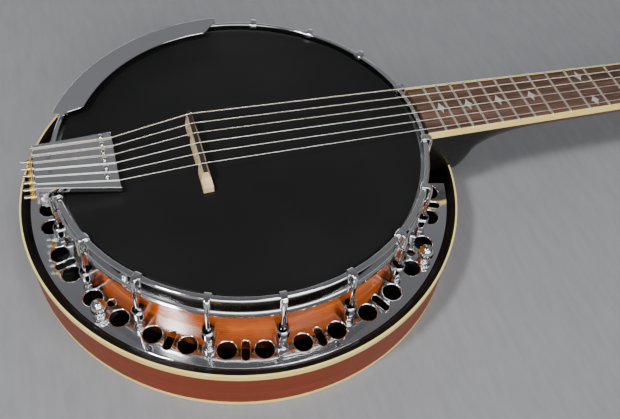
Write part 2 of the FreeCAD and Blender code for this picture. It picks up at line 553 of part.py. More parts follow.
def fingerboard():
    edge = BINDING_T

    def plan(offset, x0, x1):
        return [(x0, -board_half(x0) + offset), (x1, -board_half(x1) + offset),
                (x1, board_half(x1) - offset), (x0, board_half(x0) - offset)]

    pot = cyl(HOOP_RO + BEAD_OUT + 1.0, 60, (0, 0, HOOP_BOTTOM))
    board = prism(plan(edge, -12, NUT_X), -BOARD_T, 0)
    marks = []
    for n in (3, 5, 7, 9, 12, 15, 17, 19, 21):
        x = (fret_x(n) + fret_x(n - 1)) / 2
        along = min(INLAY_ALONG, (fret_x(n - 1) - fret_x(n)) / 2 - FRET_W)
        for y in ((-INLAY_PAIR_Y, INLAY_PAIR_Y) if n == 12 else (0.0,)):
            marks.append(star(x, y, along, INLAY_ACROSS, -0.5, 0))
    board = to_neck(board.cut(marks)).cut(pot)
    save("fretboard", board)
    save("inlays", [to_neck(m) for m in marks])
    outer = prism(plan(0, -12, NUT_X), -BOARD_T, 0).cut(prism(plan(edge, -20, NUT_X + 8), -20, 20))
    binding = to_neck(outer).cut(pot)
    save("board_binding", binding.Solids)
    frets = []
    for n in range(1, FRETS + 1):
        x, h = fret_x(n), board_half(fret_x(n))
        pts = [(x - FRET_W / 2, 0), (x - FRET_W * 0.42, FRET_H * 0.6), (x - FRET_W * 0.18, FRET_H),
               (x + FRET_W * 0.18, FRET_H), (x + FRET_W * 0.42, FRET_H * 0.6), (x + FRET_W / 2, 0)]
        bar = side_prism(pts, -h, h)
        for s in (1, -1):
            tri = [V(x - 3, s * (h + 1), -0.01), V(x - 3, s * h, 0), V(x - 3, s * (h - 0.8), 2), V(x - 3, s * (h + 1), 2)]
            bar = bar.cut(Part.Face(Part.makePolygon(tri + [tri[0]])).extrude(V(6, 0, 0)))
        frets.append(to_neck(bar))
    save("frets", frets)
    nut = side_prism([(NUT_X, -BOARD_T), (NUT_X + NUT_W, -BOARD_T), (NUT_X + NUT_W, 1.2), (NUT_X + 3.2, 2.2),
                      (NUT_X, 2.2)], -board_half(NUT_X), board_half(NUT_X))
    nut = nut.cut([cyl(STRING_R[i] + 3 * SLOT_CLEAR, 20, (NUT_X - 8, NUT_PITCH * (2.5 - i), 2.0), (1, 0, 0))
                   for i in range(6)])
    save("nut", to_neck(nut))


# ---- tuners ------------------------------------------------------------------------
def tuner_places():
    return [(u, 1) for u in POST_U] + [(u, -1) for u in POST_U]


def tuners(extra_screws):
    back = -OVERLAY_T - HEADSTOCK_T
    reach = WHEEL_R + 0.15 + WORM_R
    housings, bushings, screws = [], [], list(extra_screws)
    for i, (u, s) in enumerate(tuner_places()):
        y = s * POST_Y
        ya, yb = sorted((y - s * 9, y + s * 13))
        case = box(u - 8, u + reach + 4, ya, yb, back - 12, back)
        case = case.makeFillet(1.5, [e for e in case.Edges if abs(e.CenterOfMass.z - (back - 12)) < 0.01])
        case = case.cut([cyl(POST_R + TURN_FIT, 20, (u, y, back - 9.6)), cyl(WHEEL_R + 0.4, 4.6, (u, y, KEY_Z - 2.3)),
                         cyl(WORM_R + 0.2, 13, (u + reach, y - s * 6.5, KEY_Z), (0, s, 0)),
                         cyl(KEY_R + TURN_FIT, 30, (u + reach, y + s * 6, KEY_Z), (0, s, 0))])
        housings.append(to_headstock(case))
        bush = hexagon(6.2, 2.0, (u, y, 0)).fuse(cyl(4.2, -back, (u, y, back)))
        bushings.append(to_headstock(bush.cut(cyl(POST_R + TURN_FIT, 60, (u, y, back - 5)))))
        post = cyl(POST_R, 15 - (back - 9.4), (u, y, back - 9.4)).fuse(cyl(WHEEL_R, 4.0, (u, y, KEY_Z - 2.0)))
        post = post.fuse(cyl(COIL_R, 3.6, (u, y, 6.2)))
        post = post.fuse(cyl(3.6, 2.0, (u, y, 12.6)))
        save("tuner_post_%d" % (i + 1), to_headstock(post))
        key = cyl(WORM_R, 12.4, (u + reach, y - s * 6.2, KEY_Z), (0, s, 0))
        key = key.fuse(cyl(KEY_R, 17, (u + reach, y + s * 6, KEY_Z), (0, s, 0)))
        key = key.fuse(cyl(3.0, 2.5, (u + reach, y + s * 13.2, KEY_Z), (0, s, 0)))
        knob = cyl(9.0, 7.0, (u + reach - 3.5, y + s * 27.5, KEY_Z), (1, 0, 0))
        knob = knob.common(box(u + reach - 9, u + reach + 9, *sorted((y + s * 20, y + s * 35)), KEY_Z - 7, KEY_Z + 7))
        key = key.fuse(knob)
        save("tuner_key_%d" % (i + 1), to_headstock(key.removeSplitter()))
        x1 = u - 5.5
        screws.append(to_headstock(cyl(1.9, 1.0, (x1, y - s * 6.6, back - 13.0))))
    save("tuner_housings", housings)
    save("tuner_bushings", bushings)
    save("headstock_screws", screws)


def rod_between(a, b, r):
    a, b = V(*a), V(*b)
    d = b - a
    return Part.makeCylinder(r, d.Length, a, d)


def strings():
    order = {0: 0, 1: 1, 2: 2, 3: 5, 4: 4, 5: 3}
    wound, plain = [], []
    for i in range(6):
        r = STRING_R[i]
        pin_y, tail_y = PIN_PITCH * (2.5 - i), TAIL_PITCH * (2.5 - i)
        u, s = tuner_places()[order[i]]
        stop = COIL_R + SOFT_GAP + r
        pts = [moved_point(to_tail, (-4.8, pin_y, -13.5 + 2.3 + r)),
               moved_point(to_tail, (-2.3 - r, pin_y, 0.2 + r)),
               moved_point(to_tail, (TAIL_L + 0.4, tail_y, 0.1 + r)),
               (BRIDGE_X, BRIDGE_PITCH * (2.5 - i), BRIDGE_TOP + r * 0.2),
               moved_point(to_neck, (NUT_X + 2.0, NUT_PITCH * (2.5 - i), 2.0)),
               moved_point(to_headstock, (u, s * (POST_Y - stop), 8.0))]
        s0 = rod_between(pts[0], pts[1], r)
        for a, b in zip(pts[1:], pts[2:]):
            s0 = s0.fuse([rod_between(a, b, r), Part.makeSphere(r, V(*a))])
        (wound if i < 3 else plain).append(s0)
    save("strings_wound", wound)
    save("strings_plain", plain)


resonator()
rim()
head()
tension_hoop()
hooks()
flange()
thumbscrews()
rods()
tailpiece()
bridge()
armrest()
cover_screws = neck()
fingerboard()
tuners(cover_screws)
strings()
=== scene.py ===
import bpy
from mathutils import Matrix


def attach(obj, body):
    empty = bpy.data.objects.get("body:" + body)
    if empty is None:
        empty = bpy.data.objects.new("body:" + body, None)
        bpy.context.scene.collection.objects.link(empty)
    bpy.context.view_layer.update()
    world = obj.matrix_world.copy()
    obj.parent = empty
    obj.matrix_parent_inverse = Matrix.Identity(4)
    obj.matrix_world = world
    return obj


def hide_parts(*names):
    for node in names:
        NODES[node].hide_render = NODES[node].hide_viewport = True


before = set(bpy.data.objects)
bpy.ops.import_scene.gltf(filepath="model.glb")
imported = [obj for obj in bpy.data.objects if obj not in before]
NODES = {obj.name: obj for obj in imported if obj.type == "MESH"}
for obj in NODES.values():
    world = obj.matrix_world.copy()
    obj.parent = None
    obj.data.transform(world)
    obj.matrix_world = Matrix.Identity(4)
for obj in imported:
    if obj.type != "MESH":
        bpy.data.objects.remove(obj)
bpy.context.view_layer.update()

import math
import bpy
import bmesh
from mathutils import Matrix, Vector
from mathutils.geometry import delaunay_2d_cdt, tessellate_polygon

MM = 0.001
ROOT = "banjo"

# ---- sizes in millimetres, the same as the frame's -----------------------------------------
HOOP_TOP, HOOP_RI, HOOP_RO, HOOP_BOTTOM, BEAD_R = 93.5, 142.8, 146.9, 73.0, 148.0
HEAD_Z, RIM_R = 90.2, 140.0
FLANGE_TOP, FLANGE_T, FLANGE_R, FLANGE_GAP = 43.3, 2.0, 170.4, 13.4
SHANK_R0, SHOE_Z = 150.3, 54.0
HALF = [12.0 + 20.2 * i for i in range(8)] + [171.5]
HOOKS = HALF + [-a for a in HALF]
MIDS = [(HALF[i] + HALF[i + 1]) / 2 for i in range(8)]
THUMBS = [MIDS[1], MIDS[6], -MIDS[6], -MIDS[1]]
SLOTS = [s * a for i, a in enumerate(MIDS) if i not in (1, 6) for s in (1, -1)]
NECK_ANGLE, BOARD_X0, BRIDGE_X, SCALE = 2.42, 150.0, -36.0, 668.4
NUT_X = BRIDGE_X - BOARD_X0 + SCALE
TAIL_X, TAIL_Z, TAIL_L, TAIL_TILT = -154.0, 104.1, 56.9, 6.36
HEEL_DEG = 7.75          # half the gap that the heel takes out of the resonator's lip
FRETS, FRET_W = 21, 2.4
INLAY_FRETS = (3, 5, 7, 9, 12, 15, 17, 19, 21)
INLAY_ALONG, INLAY_ACROSS, INLAY_PAIR_Y = 3.8, 6.7, 15.4
THUMB_R = 161.3          # circle that the thumbscrews stand on


# ---- camera: the photograph's viewing angle --------------------------------------------------
def camera():
    az, el, roll = map(math.radians, (-20.65, 51.22, 5.41))
    dist = 575.2
    target = Vector((26.0, -77.6, HOOP_TOP))
    back = Vector((math.sin(az) * math.cos(el), -math.cos(az) * math.cos(el), math.sin(el)))
    place = target + back * dist
    right = (-back).cross(Vector((0, 0, 1))).normalized()
    up = right.cross(-back)
    r2 = right * math.cos(roll) + up * math.sin(roll)
    u2 = up * math.cos(roll) - right * math.sin(roll)
    data = bpy.data.cameras.new("camera")
    cam = bpy.data.objects.new("camera", data)
    bpy.context.scene.collection.objects.link(cam)
    rot = Matrix((r2, u2, back)).transposed().to_4x4()
    cam.matrix_world = Matrix.Translation(place * MM) @ rot
    data.sensor_width = 36.0
    data.lens = 787.9 / 620 * 36.0
    data.shift_x, data.shift_y = 0.0117, 0.0013
    data.clip_start = 0.01
    bpy.context.scene.camera = cam


# ---- materials -------------------------------------------------------------------------------
def new_mat(name):
    m = bpy.data.materials.new(name)
    m.use_nodes = True
    return m, m.node_tree.nodes, m.node_tree.links, m.node_tree.nodes["Principled BSDF"]


def coords(n, l, scale=(1, 1, 1), rot=(0, 0, 0)):
    tc = n.new("ShaderNodeTexCoord")
    mp = n.new("ShaderNodeMapping")
    mp.inputs["Scale"].default_value = scale
    mp.inputs["Rotation"].default_value = rot
    l.new(tc.outputs["Object"], mp.inputs["Vector"])
    return mp.outputs["Vector"]


def noise(n, l, vec, scale, detail=4.0, rough=0.5, distortion=0.0):
    t = n.new("ShaderNodeTexNoise")
    t.inputs["Scale"].default_value = scale
    t.inputs["Detail"].default_value = detail
    t.inputs["Roughness"].default_value = rough
    t.inputs["Distortion"].default_value = distortion
    l.new(vec, t.inputs["Vector"])
    return t.outputs["Fac"]


def ramp(n, l, fac, stops):
    r = n.new("ShaderNodeValToRGB")
    els = r.color_ramp.elements
    while len(els) < len(stops):
        els.new(0.5)
    for e, (p, c) in zip(els, stops):
        e.position = p
        e.color = (*c, 1) if len(c) == 3 else c
    l.new(fac, r.inputs["Fac"])
    return r.outputs["Color"]


def span(n, l, fac, lo, hi, a=0.0, b=1.0):
    r = n.new("ShaderNodeMapRange")
    r.inputs["From Min"].default_value, r.inputs["From Max"].default_value = a, b
    r.inputs["To Min"].default_value, r.inputs["To Max"].default_value = lo, hi
    l.new(fac, r.inputs["Value"])
    return r.outputs["Result"]


def bump(n, l, p, height, strength, distance):
    b = n.new("ShaderNodeBump")
    b.inputs["Strength"].default_value = strength
    b.inputs["Distance"].default_value = distance
    l.new(height, b.inputs["Height"])
    l.new(b.outputs["Normal"], p.inputs["Normal"])


def metal(name, tint, lo, hi, scale=60.0, wear=0.04, bumps=0.02):
    """Polished or brushed metal: roughness drifts over the surface, with fine handling marks."""
    m, n, l, p = new_mat(name)
    p.inputs["Metallic"].default_value = 1.0
    vec = coords(n, l)
    big = noise(n, l, vec, scale, 3.0)
    fine = noise(n, l, vec, scale * 22, 2.0)
    l.new(ramp(n, l, big, [(0.35, tuple(c * (1 - wear) for c in tint)), (0.65, tint)]), p.inputs["Base Color"])
    l.new(span(n, l, big, lo, hi, 0.35, 0.7), p.inputs["Roughness"])
    bump(n, l, p, fine, bumps, 0.0003)
    return m


def wood(name, dark, mid, light, stretch, scale, rough, coat, figure=0.0, bumps=0.1, spec=0.5):
    """Grain lines stretched along one axis, with slower colour drift and pores."""
    m, n, l, p = new_mat(name)
    p.inputs["Specular IOR Level"].default_value = spec
    vec = coords(n, l, stretch)
    grain = noise(n, l, vec, scale, 6.0, 0.62, 0.6)
    slow = noise(n, l, vec, scale * 0.13, 3.0, 0.5, 1.2)
    mix = n.new("ShaderNodeMath")
    mix.operation = "MULTIPLY_ADD"
    mix.inputs[1].default_value = 0.55
    l.new(grain, mix.inputs[0])
    part = n.new("ShaderNodeMath")
    part.operation = "MULTIPLY"
    part.inputs[1].default_value = 0.45
    l.new(slow, part.inputs[0])
    l.new(part.outputs[0], mix.inputs[2])
    value = mix.outputs[0]
    if figure:
        wave = n.new("ShaderNodeTexNoise")
        wave.inputs["Scale"].default_value = 34.0
        wave.inputs["Detail"].default_value = 1.5
        l.new(coords(n, l, (1.0, 1.0, 0.25)), wave.inputs["Vector"])
        add = n.new("ShaderNodeMath")
        add.operation = "MULTIPLY_ADD"
        add.inputs[1].default_value = figure
        l.new(span(n, l, wave.outputs["Fac"], -1, 1), add.inputs[0])
        l.new(value, add.inputs[2])
        value = add.outputs[0]
    l.new(ramp(n, l, value, [(0.32, dark), (0.5, mid), (0.68, light)]), p.inputs["Base Color"])
    l.new(span(n, l, grain, rough - 0.05, rough + 0.07, 0.3, 0.7), p.inputs["Roughness"])
    p.inputs["Coat Weight"].default_value = coat
    p.inputs["Coat Roughness"].default_value = 0.06
    pores = noise(n, l, vec, scale * 3.1, 3.0, 0.7)
    bump(n, l, p, pores, bumps, 0.0002)
    return m


def plastic(name, low, high, rough, scale=40.0, coat=0.0, bumps=0.05, bscale=900.0, dist=0.0001, spec=0.5):
    m, n, l, p = new_mat(name)
    vec = coords(n, l)
    drift = noise(n, l, vec, scale, 4.0)
    l.new(ramp(n, l, drift, [(0.35, low), (0.65, high)]), p.inputs["Base Color"])
    l.new(span(n, l, drift, rough - 0.04, rough + 0.05, 0.3, 0.7), p.inputs["Roughness"])
    p.inputs["Coat Weight"].default_value = coat
    p.inputs["Coat Roughness"].default_value = 0.05
    p.inputs["Specular IOR Level"].default_value = spec
    bump(n, l, p, noise(n, l, vec, bscale, 2.0), bumps, dist)
    return m


def near_black_inside(m, radius, height):
    """The inside of the bowl, within the radius and above the height, is made near black; the outside keeps the
    finish it is given.
    """
    n, l = m.node_tree.nodes, m.node_tree.links
    p = n["Principled BSDF"]
    tc = n.new("ShaderNodeTexCoord")
    sep = n.new("ShaderNodeSeparateXYZ")
    l.new(tc.outputs["Object"], sep.inputs["Vector"])
    flat = n.new("ShaderNodeCombineXYZ")
    l.new(sep.outputs["X"], flat.inputs["X"])
    l.new(sep.outputs["Y"], flat.inputs["Y"])
    size = n.new("ShaderNodeVectorMath")
    size.operation = "LENGTH"
    l.new(flat.outputs[0], size.inputs[0])
    inside = n.new("ShaderNodeMath")
    inside.operation = "LESS_THAN"
    inside.inputs[1].default_value = radius * MM
    l.new(size.outputs["Value"], inside.inputs[0])
    above = n.new("ShaderNodeMath")
    above.operation = "GREATER_THAN"
    above.inputs[1].default_value = height * MM
    l.new(sep.outputs["Z"], above.inputs[0])
    both = n.new("ShaderNodeMath")
    both.operation = "MULTIPLY"
    l.new(inside.outputs[0], both.inputs[0])
    l.new(above.outputs[0], both.inputs[1])
    mix = n.new("ShaderNodeMix")
    mix.data_type = "RGBA"
    # near black base colour for the bowl's inside, within the radius and above the height
    mix.inputs[7].default_value = (0.004, 0.003, 0.003, 1)
    l.new(both.outputs[0], mix.inputs[0])
    l.new(p.inputs["Base Color"].links[0].from_socket, mix.inputs[6])
    l.new(mix.outputs[2], p.inputs["Base Color"])


def neck_finish():
    """Lacquered neck: near black at the heel, fading to reddish brown along the shaft."""
    m, n, l, p = new_mat("neck_lacquer")
    vec = coords(n, l, (2.0, 22.0, 22.0))
    grain = noise(n, l, vec, 12.0, 6.0, 0.6, 0.5)
    brown = ramp(n, l, grain, [(0.3, (0.055, 0.016, 0.010)), (0.5, (0.12, 0.036, 0.020)),
                               (0.7, (0.17, 0.055, 0.030))])
    tc = n.new("ShaderNodeTexCoord")
    sep = n.new("ShaderNodeSeparateXYZ")
    l.new(tc.outputs["Object"], sep.inputs["Vector"])
    fade = span(n, l, sep.outputs["X"], 0, 1, 0.20, 0.29)
    mix = n.new("ShaderNodeMix")
    mix.data_type = "RGBA"
    mix.inputs[6].default_value = (0.006, 0.005, 0.005, 1)
    l.new(fade, mix.inputs[0])
    l.new(brown, mix.inputs[7])
    l.new(mix.outputs[2], p.inputs["Base Color"])
    l.new(span(n, l, grain, 0.22, 0.34, 0.3, 0.7), p.inputs["Roughness"])
    p.inputs["Coat Weight"].default_value = 0.0
    p.inputs["Specular IOR Level"].default_value = 0.3
    bump(n, l, p, grain, 0.04, 0.0002)
    return m


def pearl_finish():
    m, n, l, p = new_mat("pearl_shell")
    vec = coords(n, l)
    swirl = noise(n, l, vec, 420.0, 5.0, 0.6, 2.0)
    l.new(ramp(n, l, swirl, [(0.3, (0.24, 0.25, 0.25)), (0.45, (0.48, 0.48, 0.46)), (0.58, (0.40, 0.37, 0.38)),
                             (0.7, (0.60, 0.58, 0.54))]), p.inputs["Base Color"])
    l.new(span(n, l, swirl, 0.18, 0.34, 0.3, 0.7), p.inputs["Roughness"])
    p.inputs["Coat Weight"].default_value = 0.4
    bump(n, l, p, swirl, 0.1, 0.0001)
    return m


def wound_wire():
    """Wound string: fine rings along X over bronze."""
    m, n, l, p = new_mat("wound_wire")
    p.inputs["Metallic"].default_value = 1.0
    w = n.new("ShaderNodeTexWave")
    w.bands_direction = "X"
    w.inputs["Scale"].default_value = 900.0
    w.inputs["Distortion"].default_value = 0.15
    l.new(coords(n, l), w.inputs["Vector"])
    bronze = ramp(n, l, w.outputs["Fac"], [(0.2, (0.62, 0.56, 0.42)), (0.7, (0.98, 0.93, 0.80))])
    l.new(bronze, p.inputs["Base Color"])
    l.new(span(n, l, w.outputs["Fac"], 0.42, 0.24), p.inputs["Roughness"])
    bump(n, l, p, w.outputs["Fac"], 0.6, 0.00012)
    return m


M = {
    "chrome": metal("chrome_plate", (0.80, 0.80, 0.815), 0.045, 0.10, 30.0, 0.03, 0.012),
    "chrome_soft": metal("chrome_cast", (0.78, 0.78, 0.79), 0.10, 0.19, 90.0, 0.06, 0.04),
    "steel": metal("zinc_steel", (0.58, 0.58, 0.60), 0.25, 0.42, 90.0, 0.12, 0.10),
    "alu": metal("plain_aluminium", (0.72, 0.72, 0.73), 0.28, 0.40, 120.0, 0.06, 0.06),
    "fret": metal("nickel_silver", (0.95, 0.90, 0.76), 0.36, 0.46, 200.0, 0.05, 0.05),
    "bell": metal("bell_bronze", (0.66, 0.48, 0.25), 0.22, 0.34, 60.0, 0.10, 0.08),
    "brass": metal("ball_brass", (0.98, 0.62, 0.06), 0.22, 0.34, 200.0, 0.08, 0.05),
    "wire": metal("plain_wire", (0.95, 0.93, 0.86), 0.28, 0.38, 260.0, 0.05, 0.03),
    "wound": wound_wire(),
    "mahogany": wood("mahogany_lacquer", (0.13, 0.016, 0.002), (0.19, 0.027, 0.003), (0.25, 0.040, 0.005),
                     (4.0, 4.0, 60.0), 30.0, 0.38, 0.0, bumps=0.05, spec=0.25),
    "back": wood("mahogany_back", (0.10, 0.024, 0.012), (0.19, 0.050, 0.022), (0.27, 0.078, 0.034),
                 (2.0, 26.0, 2.0), 15.0, 0.26, 0.5, bumps=0.05),
    "rim": wood("maple_rim_amber", (0.33, 0.050, 0.001), (0.52, 0.095, 0.001), (0.78, 0.185, 0.003),
                (2.0, 2.0, 9.0), 9.0, 0.24, 0.0, figure=0.16, bumps=0.01, spec=0.3),
    "rosewood": wood("rosewood_board", (0.018, 0.009, 0.006), (0.085, 0.042, 0.028), (0.21, 0.105, 0.070),
                     (4.0, 60.0, 40.0), 11.0, 0.42, 0.08, bumps=0.35),
    "maple": wood("bare_maple", (0.66, 0.45, 0.22), (0.84, 0.63, 0.36), (0.93, 0.75, 0.50),
                  (14.0, 2.0, 14.0), 34.0, 0.45, 0.05, bumps=0.12),
    "ebony": wood("ebony_cap", (0.010, 0.008, 0.007), (0.022, 0.017, 0.014), (0.045, 0.033, 0.026),
                  (20.0, 2.0, 20.0), 40.0, 0.35, 0.05, bumps=0.1),
    "neck": neck_finish(),
    "pearl": pearl_finish(),
    "cream": plastic("cream_binding", (0.93, 0.70, 0.19), (0.99, 0.80, 0.27), 0.36, 55.0, 0.0, 0.03),
    "black": plastic("black_lacquer", (0.004, 0.003, 0.003), (0.007, 0.006, 0.006), 0.30, 24.0, 0.0, 0.03,
                     500.0, 0.0001, 0.12),
    "overlay": plastic("overlay_gloss", (0.006, 0.006, 0.006), (0.011, 0.010, 0.010), 0.14, 24.0, 0.4, 0.02,
                       400.0),
    "head": plastic("head_film", (0.0085, 0.0085, 0.0088), (0.0108, 0.0108, 0.0108), 0.40, 9.0, 0.0, 0.10, 1500.0,
                    0.0001, 0.13),
    "bone": plastic("bone_nut", (0.70, 0.62, 0.46), (0.84, 0.78, 0.64), 0.32, 160.0, 0.1, 0.05),
}
near_black_inside(M["mahogany"], 172.0, 4.0)
near_black_inside(M["back"], 172.0, 4.0)


# ---- building helpers (millimetres in, metres out) -------------------------------------------
def finish_mesh(name, bm, mat, slot=None, body=ROOT, nodes=(), sharp=32.0, bevel=0.0, segs=3):
    mesh = bpy.data.meshes.new(name)
    bmesh.ops.recalc_face_normals(bm, faces=bm.faces[:])
    for v in bm.verts:
        v.co *= MM
    bm.to_mesh(mesh)
    bm.free()
    mesh.polygons.foreach_set("use_smooth", [True] * len(mesh.polygons))
    mesh.set_sharp_from_angle(angle=math.radians(sharp))
    obj = bpy.data.objects.new(name, mesh)
    bpy.context.scene.collection.objects.link(obj)
    if bevel:
        b = obj.modifiers.new("edges", "BEVEL")
        b.width, b.segments, b.limit_method = bevel * MM, segs, "ANGLE"
        b.angle_limit = math.radians(sharp)
        b.harden_normals = True
    flat = obj.modifiers.new("flat", "WEIGHTED_NORMAL")
    flat.mode, flat.weight, flat.keep_sharp = "FACE_AREA", 60, True
    mesh.materials.append(mat)
    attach(obj, body)
    if nodes:
        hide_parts(*nodes)
    return obj


def add_lathe(bm, profile, centre=(0, 0, 0), segs=48, sweep=360.0, start=0.0, closed=True, wave=None):
    """Revolve (r, z) points about a vertical axis. Points with r = 0 close on the axis."""
    rings = []
    full = abs(sweep - 360.0) < 1e-6
    steps = segs if full else segs + 1
    for k in range(steps):
        a = math.radians(start + sweep * k / segs)
        ring = []
        for i, (r, z) in enumerate(profile):
            rr = r * (1 + (wave(a, i) if wave else 0.0))
            ring.append(bm.verts.new((centre[0] + rr * math.cos(a), centre[1] + rr * math.sin(a), centre[2] + z)))
        rings.append(ring)
    count = len(profile)
    for k in range(segs):
        a, b = rings[k], rings[(k + 1) % steps]
        for i in range(count if closed else count - 1):
            j = (i + 1) % count
            bm.faces.new((a[i], b[i], b[j], a[j]))
    if not full and closed:
        bm.faces.new(rings[0])
        bm.faces.new(rings[-1][::-1])
    return rings


def add_round(bm, profile, centre=(0, 0, 0), segs=32, wave=None):
    """A solid turned piece: the profile runs from the bottom centre to the top centre."""
    rings = add_lathe(bm, profile, centre, segs, closed=False, wave=wave)
    bm.faces.new([r[0] for r in rings][::-1])
    bm.faces.new([r[-1] for r in rings])


def lathe(name, profile, mat, segs=288, **kw):
    bm = bmesh.new()
    add_lathe(bm, profile, segs=segs)
    return finish_mesh(name, bm, mat, **kw)


def loft(bm, rings, cap=True):
    """Skin a list of equal-length closed rings of points."""
    made = [[bm.verts.new(p) for p in ring] for ring in rings]
    size = len(rings[0])
    for a, b in zip(made, made[1:]):
        for i in range(size):
            j = (i + 1) % size
            bm.faces.new((a[i], a[j], b[j], b[i]))
    if cap:
        bm.faces.new(made[0][::-1])
        bm.faces.new(made[-1])
    return made


def spin_copies(bm, angles):
    """Copies what bm holds to each of the angles about the pot's axis."""
    base = bm.verts[:] + bm.edges[:] + bm.faces[:]
    for a in angles[1:]:
        out = bmesh.ops.duplicate(bm, geom=base)["geom"]
        verts = [g for g in out if isinstance(g, bmesh.types.BMVert)]
        turn = Matrix.Rotation(math.radians(a - angles[0]), 3, "Z")
        bmesh.ops.rotate(bm, verts=verts, cent=(0, 0, 0), matrix=turn)


def turn_all(bm, deg):
    bmesh.ops.rotate(bm, verts=bm.verts[:], cent=(0, 0, 0), matrix=Matrix.Rotation(math.radians(deg), 3, "Z"))


def arc(r, z, radius, start, end, n=6):
    """Points on a circular arc about (r, z), angles in degrees."""
    turn = [math.radians(start + (end - start) * k / n) for k in range(n + 1)]
    return [(r + radius * math.cos(t), z + radius * math.sin(t)) for t in turn]


def rounded(points, radius, n=5):
    """Round the corners of a closed polygon of (a, b) points."""
    out = []
    count = len(points)
    for i in range(count):
        p, q, s = (Vector(points[i - 1]), Vector(points[i]), Vector(points[(i + 1) % count]))
        d0, d1 = (p - q), (s - q)
        t = min(radius, d0.length * 0.45, d1.length * 0.45)
        a, b = q + d0.normalized() * t, q + d1.normalized() * t
        for k in range(n + 1):
            u = k / n
            out.append(tuple(a * (1 - u) ** 2 + q * 2 * u * (1 - u) + b * u * u))
    return out


def fret_x(n):
    """Distance of fret n along the neck from the board's start."""
    return BRIDGE_X - BOARD_X0 + SCALE * 2 ** (-n / 12.0)


def neck_matrix():
    return Matrix.Translation((BOARD_X0, 0, HOOP_TOP)) @ Matrix.Rotation(math.radians(NECK_ANGLE), 4, "Y")


def tail_matrix():
    return Matrix.Translation((TAIL_X, 0, TAIL_Z)) @ Matrix.Rotation(math.radians(TAIL_TILT), 4, "Y")


def merge(bm, other):
    """Adds another bmesh's geometry to bm and frees it."""
    tmp = bpy.data.meshes.new("tmp")
    other.to_mesh(tmp)
    other.free()
    bm.from_mesh(tmp)
    bpy.data.meshes.remove(tmp)


def place(bm, matrix):
    bmesh.ops.transform(bm, matrix=matrix, verts=bm.verts[:])


def paint(node, mat):
    obj = NODES[node]
    if not obj.data.materials:
        obj.data.materials.append(mat)
    for i in range(len(obj.material_slots)):
        obj.material_slots[i].material = mat


# ---- pot -------------------------------------------------------------------------------------
def hoop():
    pts = [(HOOP_RI, 84.6), (HOOP_RI, 92.9)] + arc(HOOP_RI + 0.6, 92.9, 0.6, 180, 90)
    pts += arc(HOOP_RO - 1.6, HOOP_TOP - 1.6, 1.6, 90, 0, 8) + [(HOOP_RO, 80.6), (HOOP_RO + 0.25, 80.1)]
    pts += arc(BEAD_R - 1.3, 78.6, 1.3, 65, 0, 5) + arc(BEAD_R - 2.2, HOOP_BOTTOM + 2.2, 2.2, 0, -90, 8)
    pts += [(144.3, HOOP_BOTTOM), (144.3, 84.6)]
    lathe("tension_hoop_fine", pts, M["chrome"], slot="chrome", nodes=("tension_hoop",), sharp=50)


def head():
    collar = [(HEAD_Z, 0.0), (HEAD_Z, 139.4), (HEAD_Z - 0.1, 139.9), (HEAD_Z - 0.4, 140.2),
              (HEAD_Z - 0.9, 140.3), (80.5, 140.3), (80.5, 139.93), (HEAD_Z - 0.45, 139.93),
              (HEAD_Z - 0.38, 139.8), (HEAD_Z - 0.38, 0.0)]
    bm = bmesh.new()
    add_lathe(bm, [(max(r, 0.02), z) for z, r in collar], segs=240, closed=True)
    finish_mesh("drum_head_fine", bm, M["head"], slot="head_black", nodes=("drum_head",), sharp=60)


